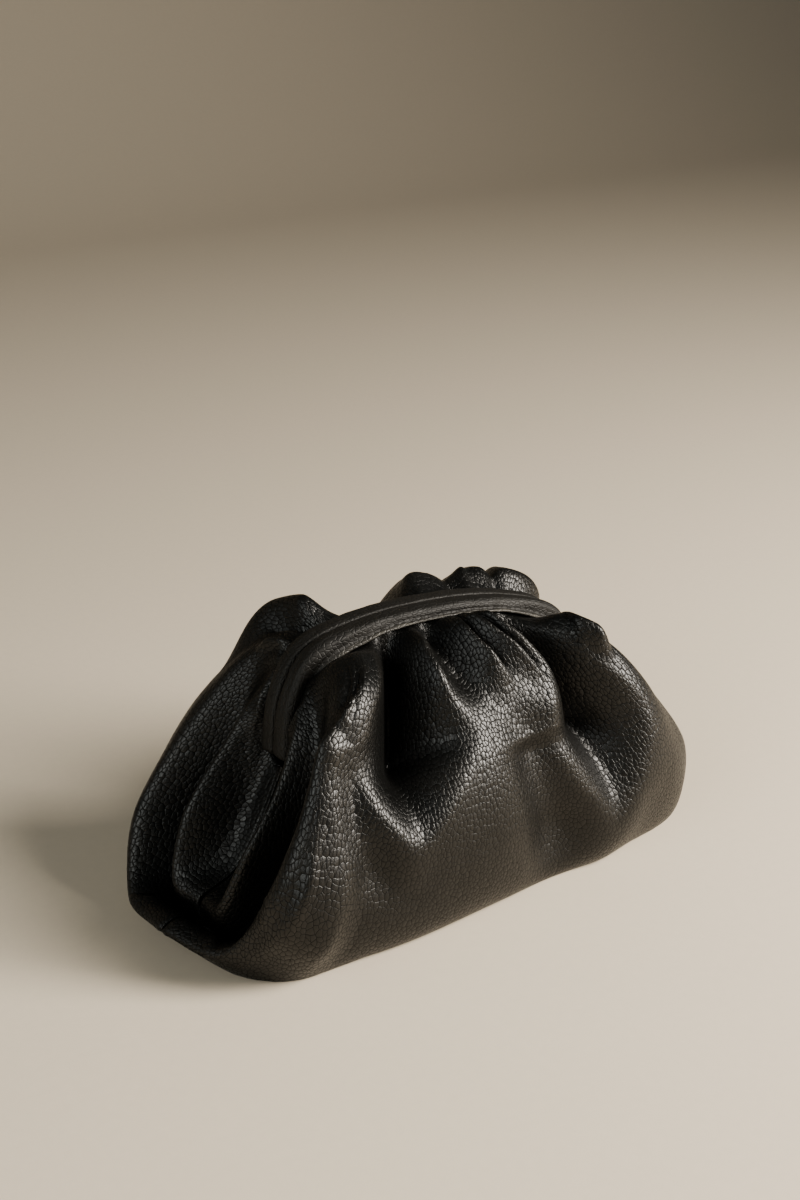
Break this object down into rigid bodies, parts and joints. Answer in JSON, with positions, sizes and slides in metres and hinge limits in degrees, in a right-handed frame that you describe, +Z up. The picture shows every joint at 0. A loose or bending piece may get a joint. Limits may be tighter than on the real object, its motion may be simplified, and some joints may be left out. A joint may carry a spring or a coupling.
{
  "type": "gathered leather clutch bag",
  "caption": "Closed soft clutch bag of black pebbled leather, gathered into two leather sleeves over an arched folding frame, with tucked-in ends.",
  "frame": {"origin": "on the floor under the middle of the bag", "axes": "+X along the bag to its right end, -Y towards its front, +Z up"},
  "size_m": [0.2621, 0.1341, 0.1184],
  "materials": {
    "pebbled_leather": "black pebbled leather with a satin gloss",
    "sleeve_leather": "smoother black leather, a little browner"
  },
  "bodies": {
    "root": {"front_panel": "pebbled_leather", "back_panel": "pebbled_leather", "front_sleeve": "sleeve_leather", "back_sleeve": "sleeve_leather"}
  },
  "joints": []
}
